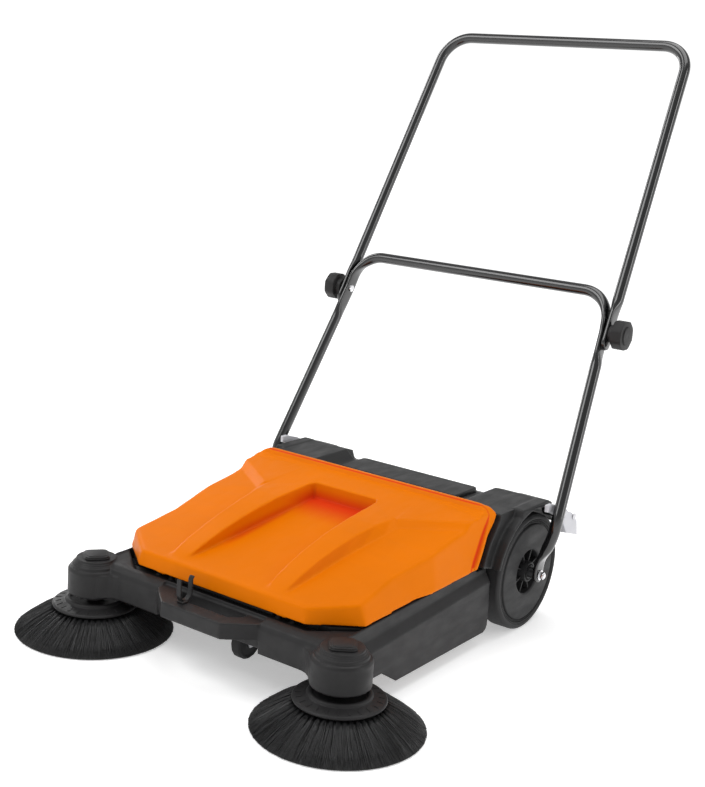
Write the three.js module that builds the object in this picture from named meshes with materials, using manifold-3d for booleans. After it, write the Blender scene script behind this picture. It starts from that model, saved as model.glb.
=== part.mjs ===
// Walk-behind push sweeper with two side brushes, a wheel-driven main roller and a folding handle.
// Millimetres. +Z is up and the machine travels towards -Y. Right is +X, as seen from in front of the machine.
// Inside this file Y = 0 is the wheel axle; the exported group is shifted so that the origin lies at the
// centre of the bounding box's base.
import * as THREE from 'three';
import { mergeVertices } from 'three/addons/utils/BufferGeometryUtils.js';
import Module from 'manifold-3d';

const wasm = await Module();
wasm.setup();

// ---- driving dimensions -------------------------------------------------------------------------
const GAP = 0.3; // clearance between touching pieces
const WALL = 3; // plastic wall thickness

const WHEEL_R = 92;
const AXLE_Z = WHEEL_R;
const WHEEL_OUT = 235; // outer face of the wheel
const WHEEL_IN = 198;
const DISC_R = 80.3;
const ARCH_R = 104;
const WELL_X = 186; // inner wall of the wheel well
const AXLE_R = 8;
const BUSH_R = 11;

const BRUSH_X = 224.4;
const BRUSH_Y = -469;
const BRUSH_R = 115.6;
const PLATE_R = 62;
const SHAFT_R = 6;
const DOME_R = 40;

const ROLLER_Y = -38.16;
const ROLLER_Z = 80;
const ROLLER_R = 79.4;
const ROLLER_HALF = 165;
const RING_TEETH = 42;
const PINION_TEETH = 14;

const BELT_R = 2.5;
const BELT_X = 191.6;
const BELT_WHEEL_R = 29.2; // belt centre line on the wheel pulley
const BELT_BRUSH_R = 14; // belt centre line on the brush pulley
const BELT_Z = 72;

const SIDE_X = 225; // outer face of the side skirts
const FENDER_X = 241; // outer edge of the flange and roof over the wheels
const STRIP_X = 215; // outer face of the upper strip of the chassis
const SKIRT_Z = 20;
const BEAM_Y = -478; // front face of the front beam
const DECK_Z = 105;
const GRIP_Y = -512;
const HINGE_Y = -448;
const HINGE_Z = 116.5;

const TUBE_R = 9;
const LEG_X = 251; // middle of the lower frame's flattened feet at the axle
const LEG_BEND = [[251, 0, 82], [251, 0, 108], [258, 2, 128], [269.5, -2, 155], [273.6, -2, 180]]; // foot to straight leg
const KNOB_Y = 147.6;
const KNOB_Z = 455;
const LOWER_TOP = { x: 241, y: 171.8, z: 513.2 };
const UPPER_TOP = { x: 234.4, y: 391.5, z: 903.9 };
const LOWER_KNOB_X = 248.2;
const UPPER_KNOB_X = 256.2;
const FLAT_HALF = 3.7; // half the thickness of a flattened tube
const BEND_R = 50;
const BOLT_R = 4;
const KNOB_R = 24;
const CATCH_Y = 62;
const CATCH_Z = 177;

const CASTER_Y = -408;
const CASTER_TRAIL = 18;
const CASTER_R = 25;

const CLIP_X = -30;
const CLIP_Y = -490;

const REAR_Y = UPPER_TOP.y + TUBE_R;
const SHIFT_Y = -(BRUSH_Y - BRUSH_R + REAR_Y) / 2;

// ---- materials ----------------------------------------------------------------------------------
const blackPlastic = [0x3a393a, 0.55, 0];
const housingPlastic = [0x4a4a4b, 0.6, 0];
const orangePlastic = [0xf07a00, 0.4, 0];
const tubePaint = [0x111112, 0.2, 0.3];
const rubber = [0x2b2b2c, 0.8, 0];
const bristle = [0x1c1c1d, 0.9, 0];
const greyPlastic = [0xc4c4c6, 0.5, 0];
const steel = [0xc8c8cc, 0.25, 1];
const gearPlastic = [0xd8d6cc, 0.5, 0];
const belt = [0x34302c, 0.7, 0];

const sweeper = new THREE.Group();
sweeper.position.y = SHIFT_Y;

function place(name, geometry, [colour, roughness, metalness], parent = sweeper) {
  const material = new THREE.MeshStandardMaterial({ color: colour, roughness, metalness });
  const mesh = new THREE.Mesh(geometry, material);
  mesh.name = name;
  parent.add(mesh);
  return mesh;
}

// ---- geometry helpers ---------------------------------------------------------------------------
function toSolid(geometry) {
  const bare = geometry.clone();
  bare.deleteAttribute('normal');
  bare.deleteAttribute('uv');
  const merged = mergeVertices(bare, 1e-4);
  const mesh = new wasm.Mesh({
    numProp: 3,
    vertProperties: new Float32Array(merged.attributes.position.array),
    triVerts: new Uint32Array(merged.index.array),
  });
  return new wasm.Manifold(mesh);
}

function toGeometry(solid) {
  const mesh = solid.getMesh();
  const geometry = new THREE.BufferGeometry();
  geometry.setAttribute('position', new THREE.BufferAttribute(mesh.vertProperties, 3));
  geometry.setIndex(new THREE.BufferAttribute(mesh.triVerts, 1));
  geometry.computeVertexNormals();
  return geometry;
}

// Starts from the first piece, joins every piece of the list, then takes away every piece of the cuts.
function build(pieces, cuts = []) {
  let solid = toSolid(pieces[0]);
  for (const piece of pieces.slice(1)) {
    solid = solid.add(toSolid(piece));
  }
  for (const cut of cuts) {
    solid = solid.subtract(toSolid(cut));
  }
  return toGeometry(solid);
}

function overlap(first, ...others) {
  let solid = toSolid(first);
  for (const other of others) {
    solid = solid.intersect(toSolid(other));
  }
  return toGeometry(solid);
}

function shapeOf(points) {
  return new THREE.Shape(points.map(([a, b]) => new THREE.Vector2(a, b)));
}

// Corners of the outline are rounded by the given radius.
function roundedShape(points, radius) {
  const shape = new THREE.Shape();
  const count = points.length;
  for (let i = 0; i < count; i += 1) {
    const corner = new THREE.Vector2(...points[i]);
    const before = new THREE.Vector2(...points[(i + count - 1) % count]);
    const after = new THREE.Vector2(...points[(i + 1) % count]);
    const start = corner.clone().add(before.sub(corner).setLength(radius));
    const end = corner.clone().add(after.sub(corner).setLength(radius));
    if (i === 0) shape.moveTo(start.x, start.y);
    else shape.lineTo(start.x, start.y);
    shape.quadraticCurveTo(corner.x, corner.y, end.x, end.y);
  }
  return shape;
}

// A (y, z) shape extruded along X.
function extrudeX(shape, x0, x1, curveSegments = 4) {
  const geometry = new THREE.ExtrudeGeometry(shape, { depth: x1 - x0, bevelEnabled: false, curveSegments });
  const basis = new THREE.Matrix4().makeBasis(
    new THREE.Vector3(0, 1, 0), new THREE.Vector3(0, 0, 1), new THREE.Vector3(1, 0, 0));
  geometry.applyMatrix4(basis);
  geometry.translate(x0, 0, 0);
  return geometry;
}

// An (x, y) shape extruded along Z.
function extrudeZ(shape, z0, z1, curveSegments = 4) {
  const geometry = new THREE.ExtrudeGeometry(shape, { depth: z1 - z0, bevelEnabled: false, curveSegments });
  geometry.translate(0, 0, z0);
  return geometry;
}

// An (x, z) shape extruded along Y.
function extrudeY(shape, y0, y1, curveSegments = 4) {
  const geometry = new THREE.ExtrudeGeometry(shape, { depth: y1 - y0, bevelEnabled: false, curveSegments });
  geometry.rotateX(Math.PI / 2);
  geometry.translate(0, y1, 0);
  return geometry;
}

// A lathe needs its profile counter-clockwise in (radius, height) for its faces to point outwards.
function latheProfile(profile) {
  const points = profile.map(([radius, height]) => new THREE.Vector2(radius, height));
  return THREE.ShapeUtils.area(points) < 0 ? points.reverse() : points;
}

// A profile of [radius, height] turned about Z.
function turnZ(profile, segments, x = 0, y = 0) {
  const geometry = new THREE.LatheGeometry(latheProfile(profile), segments);
  geometry.rotateX(Math.PI / 2);
  geometry.translate(x, y, 0);
  return geometry;
}

// A profile of [radius, x] turned about an axis along X.
function turnX(profile, segments, y = 0, z = 0) {
  const geometry = new THREE.LatheGeometry(latheProfile(profile), segments);
  geometry.rotateZ(-Math.PI / 2);
  geometry.translate(0, y, z);
  return geometry;
}

function ring(inner, outer, low, high) {
  return [[inner, low], [outer, low], [outer, high], [inner, high], [inner, low]];
}

function disc(outer, low, high) {
  return [[0, low], [outer, low], [outer, high], [0, high]];
}

function box(x0, x1, y0, y1, z0, z1) {
  const geometry = new THREE.BoxGeometry(x1 - x0, y1 - y0, z1 - z0);
  geometry.translate((x0 + x1) / 2, (y0 + y1) / 2, (z0 + z1) / 2);
  return geometry;
}

function tubeAlong(curve, radius, steps, sides) {
  const section = new THREE.Shape();
  for (let i = 0; i < sides; i += 1) {
    const angle = (2 * Math.PI * (i + 0.5)) / sides;
    const point = [radius * Math.cos(angle), radius * Math.sin(angle)];
    if (i === 0) section.moveTo(...point);
    else section.lineTo(...point);
  }
  section.closePath();
  return new THREE.ExtrudeGeometry(section, { steps, extrudePath: curve, bevelEnabled: false });
}

// Mirror of a geometry in the plane X = 0, with its faces turned back outwards.
function mirrored(geometry) {
  const copy = geometry.index ? geometry.toNonIndexed() : geometry.clone();
  copy.scale(-1, 1, 1);
  const position = copy.attributes.position;
  const a = new THREE.Vector3();
  const b = new THREE.Vector3();
  for (let i = 0; i < position.count; i += 3) {
    a.fromBufferAttribute(position, i + 1);
    b.fromBufferAttribute(position, i + 2);
    position.setXYZ(i + 1, b.x, b.y, b.z);
    position.setXYZ(i + 2, a.x, a.y, a.z);
  }
  copy.deleteAttribute('uv');
  copy.computeVertexNormals();
  return copy;
}

// Places a piece made for the +X side and its mirror image.
function placePair(stem, geometry, material) {
  place(`${stem}_right`, geometry, material);
  place(`${stem}_left`, mirrored(geometry), material);
}

function both(makeGeometry) {
  const geometry = makeGeometry();
  return [geometry, mirrored(geometry)];
}

// The solid between a surface given as rows of [x, y, z] points and the plane z = floor.
function blockUnder(rows, floor) {
  const across = rows[0].length;
  const count = rows.length * across;
  const position = [];
  for (const row of rows) {
    for (const [x, y, z] of row) position.push(x, y, z);
  }
  for (const row of rows) {
    for (const [x, y] of row) position.push(x, y, floor);
  }
  const index = [];
  const quad = (a, b, c, d) => index.push(a, b, c, a, c, d);
  for (let r = 0; r + 1 < rows.length; r += 1) {
    for (let c = 0; c + 1 < across; c += 1) {
      const a = r * across + c;
      quad(a, a + across, a + across + 1, a + 1);
      quad(a + count, a + 1 + count, a + across + 1 + count, a + across + count);
    }
  }
  for (let c = 0; c + 1 < across; c += 1) {
    const last = (rows.length - 1) * across + c;
    quad(c, c + 1, c + 1 + count, c + count);
    quad(last + 1, last, last + count, last + 1 + count);
  }
  for (let r = 0; r + 1 < rows.length; r += 1) {
    const a = r * across;
    const b = a + across - 1;
    quad(a + across, a, a + count, a + across + count);
    quad(b, b + across, b + across + count, b + count);
  }
  const geometry = new THREE.BufferGeometry();
  geometry.setAttribute('position', new THREE.Float32BufferAttribute(position, 3));
  geometry.setIndex(index);
  return geometry;
}

// A prism whose outline changes evenly from the lower to the upper one.
function draftPrism(lower, upper, z0, z1) {
  const geometry = extrudeZ(shapeOf(lower), 0, 1);
  const position = geometry.attributes.position;
  for (let i = 0; i < position.count; i += 1) {
    const top = position.getZ(i) > 0.5;
    const at = lower.findIndex(([x, y]) =>
      Math.abs(x - position.getX(i)) < 1e-3 && Math.abs(y - position.getY(i)) < 1e-3);
    const [x, y] = top ? upper[at] : lower[at];
    position.setXYZ(i, x, y, top ? z1 : z0);
  }
  return geometry;
}

// Repeats a half outline of positive X on the other side.
function symmetric(half) {
  return [...half, ...half.map(([x, y]) => [-x, y]).reverse()];
}

// ---- hood ---------------------------------------------------------------------------------------
const wingZ = (y) => 146 + 0.1767 * (y + 412); // at the side edge
const innerWingZ = (y) => 137.4 + 0.216 * (y + 454); // beside the ridges
const pocketZ = (y) => 179.4 + 0.1417 * (y + 171);
const pocketX = (y) => 58 - 0.0577 * (y + 178);

// Crest of each ridge beside the pocket: y, inner edge x, outer edge x, height, foot x.
const RIDGE = [
  [-250, 65.6, 113.1, 195, 128],
  [-290, 66.7, 109.5, 189, 119.6],
  [-330, 67.8, 106.9, 180.8, 113.6],
  [-370, 69, 105, 170.4, 110.3],
  [-410, 71, 104, 157, 107],
  [-432, 72.6, 103, 147.4, 105],
];

// Section of the rear rim: bead and groove.
const RIM = [[-86, 196], [-90, 203], [-97, 213], [-106, 216.5], [-113, 215], [-117, 209.3], [-124, 208.5]];

// Surface of the hood, or of its hollow when t is above 0: steep faces move sideways by t and all drop by t.
function hoodRows(t) {
  const side = 240;
  const halves = RIM.map(([y, z]) => [0, 50, 63, 110, 124, side].map((x) => [x, y, z]));
  halves.push([
    [0, -170, 203], [57 + t, -170, 203], [62.5 + t, -172, 202.8], [118 - t, -209, 198], [124 - t, -214, 198.1],
    [side, -136, 203.8],
  ].map(([x, y, z]) => [x, y + t, z]));
  halves.push([
    [0, -173, 179.2], [57.8 + t, -173, 179.2], [62.7 + t, -180, 201.9], [118 - t, -219, 196.8],
    [133 - t, -223, 187.8], [side, -149, 192.4],
  ].map(([x, y, z]) => [x, y + t, z]));
  for (const [y, inner, outer, crest, foot] of RIDGE) {
    const floor = pocketZ(y);
    halves.push([
      [0, y, floor], [pocketX(y) + t, y, floor], [inner + t, y, crest], [outer - t, y, crest],
      [foot - t, y, innerWingZ(y)], [side, y, wingZ(y)],
    ]);
  }
  halves.push([0, 73.5, 76, 99, 103, side].map((x) => [x, -446, 139.8]));
  halves.push([0, 73.5, 76, 99, 103, side].map((x) => [x, -480, 133.6]));
  return halves.map((half) => {
    const mirror = half.slice(1).map(([x, y, z]) => [-x, y, z]).reverse();
    return [...mirror, ...half].map(([x, y, z]) => [x, y, z - t]);
  });
}

function hoodBlock(inset) {
  const t = inset;
  const lower = symmetric([[155 - t, -458 + t], [226 - t, -405 + t], [224.8 - t, -250], [225 - t, -84]]);
  const upper = symmetric([[139 - t, -447 + t], [178 - t, -415 + t], [206 - t, -250], [219 - t, -84]]);
  const rear = t > 0
    ? [[-480, 90], [-137, 90], [-134, 131], [-120, 165], [-99, 190], [-94, 202], [-100, 240], [-480, 240]]
    : [[-480, 114.3], [-140, 125], [-131, 131], [-117, 165], [-95, 191], [-90, 202], [-97, 240], [-480, 240]];
  const shoulder = [[240, 80], [240, 190], [220.5, 196], [218, 205], [212, 212], [202, 217]]; // of the rim, seen from behind
  const half = overlap(
    blockUnder(hoodRows(t), 80),
    draftPrism(lower, upper, 85, 235),
    extrudeX(shapeOf(rear), 0, 240),
    extrudeY(shapeOf(symmetric(shoulder.map(([x, z]) => [x - t, z - t]))), -480, -60),
  );
  return build([half, mirrored(half)]);
}

function makeHood() {
  const knuckles = both(() => box(102, 118, -454.5, HINGE_Y + 3.5, 113.6, 120));
  const bores = both(() => turnX(disc(2.3, 90, 130), 8, HINGE_Y, HINGE_Z));
  place('hood', build([build([hoodBlock(0)], [hoodBlock(WALL)]), ...knuckles], bores), orangePlastic);
  placePair('hood_hinge_pin', turnX(disc(2, 94, 126), 8, HINGE_Y, HINGE_Z), steel);
}

// ---- chassis ------------------------------------------------------------------------------------
const LEDGE_SLOPE = 0.0623; // the ledge along the sides rises towards the rear

function chassisBody() {
  const section = shapeOf(symmetric([[SIDE_X, -60], [SIDE_X, 81], [STRIP_X, 95], [STRIP_X, 128]]));
  const sides = extrudeY(section, BRUSH_Y, -97);
  const position = sides.attributes.position;
  for (let i = 0; i < position.count; i += 1) {
    position.setZ(i, position.getZ(i) + LEDGE_SLOPE * (position.getY(i) + 402));
  }
  const profile = shapeOf([
    [-97, 32], [-101, 24], [-109, SKIRT_Z], [-338, SKIRT_Z], [-375, 43], [-402, 43], [-412, 60], [BRUSH_Y, 60],
    [BRUSH_Y, DECK_Z], [-440, DECK_Z], [-439.9, 112.9], [-128, 123.6], [-127, 119.5], [-97, 119.5],
  ]);
  return overlap(sides, extrudeX(profile, -SIDE_X - 1, SIDE_X + 1));
}

function domeAt(x) {
  const profile = [
    [0, 60], [DOME_R, 60], [DOME_R, 96], [37.5, 99.5], [34, 101], [33.5, 105], [31, 107.6], [28.5, 108],
    [28.5, 112], [0, 112],
  ];
  return turnZ(profile, 24, x, BRUSH_Y);
}

// Openings of the chassis: side brush bearings and their housings, wheel arches, hinge bores, caster stem.
function chassisCuts() {
  return [
    box(-92, 92, -500, -461, 0, 130),
    ...both(() => turnZ(disc(36, 40, 94), 20, BRUSH_X, BRUSH_Y)),
    ...both(() => turnZ(disc(BUSH_R, 90, 120), 16, BRUSH_X, BRUSH_Y)),
    ...both(() => turnX(disc(ARCH_R - 3, WELL_X - 5, 240), 28, 0, AXLE_Z)),
    ...both(() => turnX(disc(2.3, 90, 130), 8, HINGE_Y, HINGE_Z)),
    turnZ(disc(5.3, 50, 70), 16, 0, CASTER_Y),
    ...both(() => box(198, 222, -446, -420, 67, 77)),
    ...both(() => box(198, 212, -446, -420, 67, 86)),
  ];
}

function makeChassis() {
  const beam = shapeOf([[BEAM_Y, 62], [BEAM_Y, 97], [-474, 104], [-466, DECK_Z], [-440, DECK_Z], [-440, 62]]);
  const deckProfile = shapeOf([[-474, 100], [-474, 104], [-466, 108.5], [-459, 110], [-404, 112.8], [-404, 100]]);
  const hoodSeat = shapeOf(symmetric([[155.8, -459.4], [219.8, -408], [219.8, -390]]));
  const deck = build([extrudeX(deckProfile, -STRIP_X, STRIP_X)], [extrudeZ(hoodSeat, 90, 120)]);
  const grip = shapeOf(symmetric([[53, GRIP_Y], [92, -479], [92, -460]]));
  const slot = shapeOf(symmetric([[45, -487], [60, -474], [60, -463]]));
  const carryGrip = build([extrudeZ(grip, 81, 104)], [extrudeZ(slot, 70, 110)]);
  const body = build([chassisBody()], [
    box(-221, 221, -440, -90, 0, 78),
    box(-217.5, 217.5, -440, -90, 70, 87),
    box(-211, 211, -440, -90, 80, 140),
  ]);
  const lug = shapeOf([[-440.2, 100], [-440.2, 111], [-444.8, 114.5], [-444.8, 120.5], [-451.1, 120.5], [-451.1, 115],
    [-447.2, 111.2], [-446.5, 106], [-446.5, 100]]);
  const lugs = [97.8, 122].flatMap((x) => both(() => extrudeX(lug, x - 3.2, x + 3.2)));
  const crossPieces = [
    box(-222, 222, -138, -130, 76, 100),
    box(-176, 176, -138, -131, 44, 106),
    box(-160, 160, -146, -131, 100, DECK_Z),
    box(-60, 60, -450, -386, 56, 64),
  ];
  const shelf = shapeOf([[-404, 106], [-142, 114], [-142, 118], [-404, 110]]);
  const sideLip = shapeOf([[-404, 106], [-142, 114], [-142, 127.5], [-404, 119.5]]);
  const lips = [...both(() => extrudeX(shelf, 205.5, 212)), ...both(() => extrudeX(sideLip, 205.5, 208.5))];
  const hull = build(
    [body, deck, ...lips, extrudeX(beam, -192, 192), domeAt(BRUSH_X), domeAt(-BRUSH_X), ...crossPieces, ...lugs],
    chassisCuts(),
  );
  place('chassis', build([hull, carryGrip]), blackPlastic);

  const cap = roundedShape([[-20, -20], [20, -20], [20, 20], [-20, 20]], 9);
  const capGeometry = extrudeZ(cap, 112 + GAP, 117.5, 3);
  capGeometry.translate(BRUSH_X, BRUSH_Y, 0);
  placePair('corner_cap', capGeometry, blackPlastic);
}

// ---- handle storage clip ------------------------------------------------------------------------
function makeClip() {
  const inner = 10;
  const outer = 12.6;
  const prong = 21;
  const shape = new THREE.Shape();
  shape.moveTo(-outer, prong);
  shape.lineTo(-outer, 0);
  shape.absarc(0, 0, outer, Math.PI, 2 * Math.PI, false);
  shape.lineTo(outer, prong - 4);
  shape.lineTo(outer + 3, prong);
  shape.lineTo(outer, prong);
  shape.lineTo(inner, prong - 5);
  shape.lineTo(inner, 0);
  shape.absarc(0, 0, inner, 2 * Math.PI, Math.PI, true);
  shape.lineTo(-inner, prong);
  shape.closePath();
  const centreZ = 104 + GAP + outer + 0.4;
  const hook = extrudeX(shape, CLIP_X - 4, CLIP_X + 4, 12);
  hook.translate(0, CLIP_Y, centreZ);
  const foot = box(CLIP_X - 6, CLIP_X + 6, CLIP_Y - 9, CLIP_Y + 3, 104 + GAP, centreZ - inner - 0.6);
  place('handle_clip', build([hook, foot]), blackPlastic);
}

// ---- rear housing -------------------------------------------------------------------------------
function makeRearHousing() {
  const centre = shapeOf([
    [-84, 189], [-60, 188], [32, 186], [62, 178], [80, 150], [88, 60], [88, 44], [84, 44], [84, 60], [76, 149],
    [60, 174], [31, 182], [-62, 184], [-84, 185],
  ].reverse());
  const outerFender = [
    [-125, 126], [-111, 160], [-87, 192], [-86, 201], [32, 201], [52, 196], [66, 186], [96, 166], [92, 154], [60, 150],
    [0, 120], [-100, 120],
  ];
  const innerFender = shapeOf([[-86, 180], [-84, 201], [32, 201], [52, 195], [60, 178], [30, 182]]);
  const wellWall = shapeOf([[-99, 127], [-86, 185], [32, 185], [60, 176], [78, 150], [88, 60], [88, 44], [-99, 44]]);
  const fender = build([extrudeX(shapeOf(outerFender), WELL_X - 4, SIDE_X)], [
    turnX(disc(ARCH_R, WELL_X, 240), 28, 0, AXLE_Z),
  ]);
  const bulge = draftPrism(
    [[128, -84], [190, -84], [190, 32], [128, 32]], [[146, -84], [190, -84], [190, 32], [146, 32]], 184, 201);
  const flangeReach = shapeOf([[-125, 127], [-125, 215], [48, 215], [48, 150], [0, AXLE_Z]]);
  const flange = overlap(
    turnX(ring(ARCH_R, ARCH_R + 5, SIDE_X - 4, FENDER_X), 28, 0, AXLE_Z),
    extrudeX(flangeReach, WELL_X, 250),
  );
  const roof = build([extrudeX(shapeOf([[-50, 185], [-44, 202], [34, 202], [45, 197], [50, 180]]), SIDE_X - 4, FENDER_X)],
    [turnX(disc(ARCH_R, WELL_X, 250), 28, 0, AXLE_Z)]);
  const boss = turnX(disc(9, SIDE_X - 5, 254.7), 16, CATCH_Y, CATCH_Z);
  const halfPieces = [
    ...both(() => fender),
    ...both(() => flange),
    ...both(() => roof),
    ...both(() => boss),
    ...both(() => bulge),
    ...both(() => extrudeX(innerFender, 148, WELL_X)),
    ...both(() => extrudeX(wellWall, WELL_X - 4, WELL_X)),
  ];
  const pad = roundedShape([[-113, -34], [113, -34], [113, 36], [-113, 36]], 8);
  const housing = build([extrudeX(centre, -WELL_X, WELL_X), ...halfPieces], [
    ...both(() => turnX(disc(AXLE_R + GAP, 170, 200), 20, 0, AXLE_Z)),
    ...both(() => turnX(disc(9, 170, 200), 20, ROLLER_Y, ROLLER_Z)),
    ...both(() => turnX(disc(3 + GAP, 218, 260), 12, CATCH_Y, CATCH_Z)),
    extrudeZ(pad, 178, 200),
  ]);
  place('rear_housing', housing, housingPlastic);
  const cover = roundedShape([[-112.6, -33.6], [112.6, -33.6], [112.6, 35.6], [-112.6, 35.6]], 8);
  place('roller_cover', extrudeZ(cover, 180, 193), housingPlastic);
  place('sealing_lip', build([box(-176, 176, 84.2, 88, 6, 43.6), box(-176, 176, 80, 84.3, 30, 43.6)]), rubber);
}

// ---- hopper -------------------------------------------------------------------------------------
function makeHopper() {
  const tub = build([
    draftPrism(symmetric([[150, -428], [150, -156]]), symmetric([[160, -436], [160, -149]]), 73, 111),
    box(-90, 90, -446.5, -434, DECK_Z + GAP, 111),
    box(-150, 150, -150, -139, DECK_Z + GAP, 111),
  ], [draftPrism(symmetric([[147, -425], [147, -159]]), symmetric([[157, -433], [157, -152]]), 76, 111.5)]);
  place('hopper', tub, housingPlastic);
}

// ---- wheels -------------------------------------------------------------------------------------
function makeWheels() {
  const discProfile = [
    [BUSH_R + GAP, 214], [15, 214], [34, 216], [36, WHEEL_OUT - 6], [74, WHEEL_OUT - 6], [75, WHEEL_IN + 2],
    [DISC_R, WHEEL_IN + 2], [DISC_R, WHEEL_OUT - 2], [77, WHEEL_OUT - 0.5], [38, WHEEL_OUT - 0.5], [35, WHEEL_OUT - 3],
    [33, 219], [16, 219], [15, 237], [BUSH_R + GAP, 237], [BUSH_R + GAP, 214],
  ];
  const tyreProfile = [
    [DISC_R + GAP, WHEEL_IN], [88, WHEEL_IN], [WHEEL_R, WHEEL_IN + 5], [WHEEL_R, WHEEL_OUT - 5], [88, WHEEL_OUT],
    [DISC_R + GAP, WHEEL_OUT], [DISC_R + GAP, WHEEL_IN],
  ];
  placePair('wheel_disc', turnX(discProfile, 24, 0, AXLE_Z), blackPlastic);
  placePair('tyre', turnX(tyreProfile, 24, 0, AXLE_Z), rubber);
  placePair('wheel_bush', turnX(ring(AXLE_R + GAP, BUSH_R, 213.7, 237.4), 16, 0, AXLE_Z), gearPlastic);

  const flange = turnX(disc(20, 177, 181.7), 16, 0, AXLE_Z);
  const stub = turnX(disc(AXLE_R, 180, 246.6), 16, 0, AXLE_Z);
  const bore = turnX(disc(BOLT_R + GAP, 226, 250), 12, 0, AXLE_Z);
  placePair('stub_axle', build([flange, stub], [bore]), steel);
}

// A gear outline in (y, z); teeth point outwards, or inwards where the tip radius is below the root's.
function gearPoints(teeth, rootR, tipR, rootWidth, tipWidth, phase) {
  const points = [];
  for (let i = 0; i < teeth; i += 1) {
    const middle = phase + (2 * Math.PI * i) / teeth;
    const corners = [[rootR, -rootWidth / 2], [tipR, -tipWidth / 2], [tipR, tipWidth / 2], [rootR, rootWidth / 2]];
    for (const [radius, offset] of corners) {
      const angle = middle + offset / radius;
      points.push(new THREE.Vector2(radius * Math.cos(angle), radius * Math.sin(angle)));
    }
  }
  return points;
}

function pulleyProfile(bore, groove, rim, middle) {
  return [
    [bore, middle - 4], [rim, middle - 4], [rim, middle - 3.2], [groove, middle - 2.6], [groove, middle + 2.6],
    [rim, middle + 3.2], [rim, middle + 4], [bore, middle + 4], [bore, middle - 4],
  ];
}

function makeDrive() {
  const mesh = Math.atan2(ROLLER_Z - AXLE_Z, ROLLER_Y);
  const ringShape = new THREE.Shape();
  ringShape.absarc(0, 0, 70, 0, 2 * Math.PI, false);
  const gap = mesh + Math.PI / RING_TEETH; // a gap of the ring faces the pinion's tooth
  ringShape.holes.push(new THREE.Path(gearPoints(RING_TEETH, 62.6, 58, 5, 2.6, gap)));
  const ringGear = extrudeX(ringShape, WHEEL_IN, 209, 8);
  ringGear.translate(0, 0, AXLE_Z);
  const bore = AXLE_R + GAP;
  const pulley = turnX(pulleyProfile(bore, 26, 32, BELT_X), 16, 0, AXLE_Z);
  const web = turnX([[bore, 194], [12.5, 194], [12.5, 208.4], [70, 208.4], [70, 211.4], [bore, 211.4], [bore, 194]],
    16, 0, AXLE_Z);
  place('drive_gear_right', build([web, ringGear, pulley]), gearPlastic);
  const hub = turnX(ring(bore, 12.5, 194, 211.4), 16, 0, AXLE_Z);
  place('drive_pulley_left', mirrored(build([hub, pulley])), gearPlastic);

  const pinionShape = new THREE.Shape(gearPoints(PINION_TEETH, 17.4, 22, 5, 2.6, mesh));
  const pinionBore = new THREE.Path();
  pinionBore.absarc(0, 0, SHAFT_R + GAP, 0, 2 * Math.PI, true);
  pinionShape.holes.push(pinionBore);
  const pinion = extrudeX(pinionShape, 198.8, 207.6, 8);
  pinion.translate(0, ROLLER_Y, ROLLER_Z);
  place('roller_pinion', pinion, gearPlastic);

  const core = turnX([
    [0, -189], [SHAFT_R, -189], [SHAFT_R, -172], [22, -172], [22, 172], [SHAFT_R, 172], [SHAFT_R, 208], [0, 208],
  ], 16, ROLLER_Y, ROLLER_Z);
  place('roller_core', core, steel);
  place('roller_bristles', turnX(ring(22 + GAP, ROLLER_R, -ROLLER_HALF, ROLLER_HALF), 24, ROLLER_Y, ROLLER_Z), bristle);
  const bearing = [
    [SHAFT_R + GAP, 177], [12, 177], [12, 181.7], [8.7, 181.7], [8.7, 187], [SHAFT_R + GAP, 187],
    [SHAFT_R + GAP, 177],
  ];
  placePair('roller_bearing', turnX(bearing, 14, ROLLER_Y, ROLLER_Z), gearPlastic);
}

// ---- side brushes -------------------------------------------------------------------------------
function makeSideBrushes() {
  const plate = [
    [SHAFT_R + GAP, 39], [PLATE_R - 3, 39], [PLATE_R, 41], [PLATE_R, 44], [PLATE_R - 4, 46], [40, 47], [38, 53],
    [34, 54], [32, 48], [13, 48], [12, 56], [SHAFT_R + GAP, 56], [SHAFT_R + GAP, 39],
  ];
  const fan = [
    [50, 38.6], [PLATE_R - 4, 38.6], [PLATE_R, 37], [88, 20], [106, 8], [BRUSH_R, 2], [BRUSH_R - 0.6, 0.4],
    [108, 0.4], [92, 9], [72, 22], [50, 33], [50, 38.6],
  ];
  placePair('brush_plate', turnZ(plate, 20, BRUSH_X, BRUSH_Y), blackPlastic);
  placePair('brush_bristles', turnZ(fan, 20, BRUSH_X, BRUSH_Y), bristle);
  placePair('brush_shaft', turnZ([[0, 36], [9, 36], [9, 38.6], [SHAFT_R, 38.6], [SHAFT_R, 110], [0, 110]], 14, BRUSH_X,
    BRUSH_Y), steel);
  placePair('brush_pulley', turnZ(pulleyProfile(SHAFT_R + GAP, 11, 17, BELT_Z), 16, BRUSH_X, BRUSH_Y), gearPlastic);
  placePair('brush_bearing', turnZ(ring(SHAFT_R + GAP, BUSH_R - GAP, 95, 111), 16, BRUSH_X, BRUSH_Y), gearPlastic);
}

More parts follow.
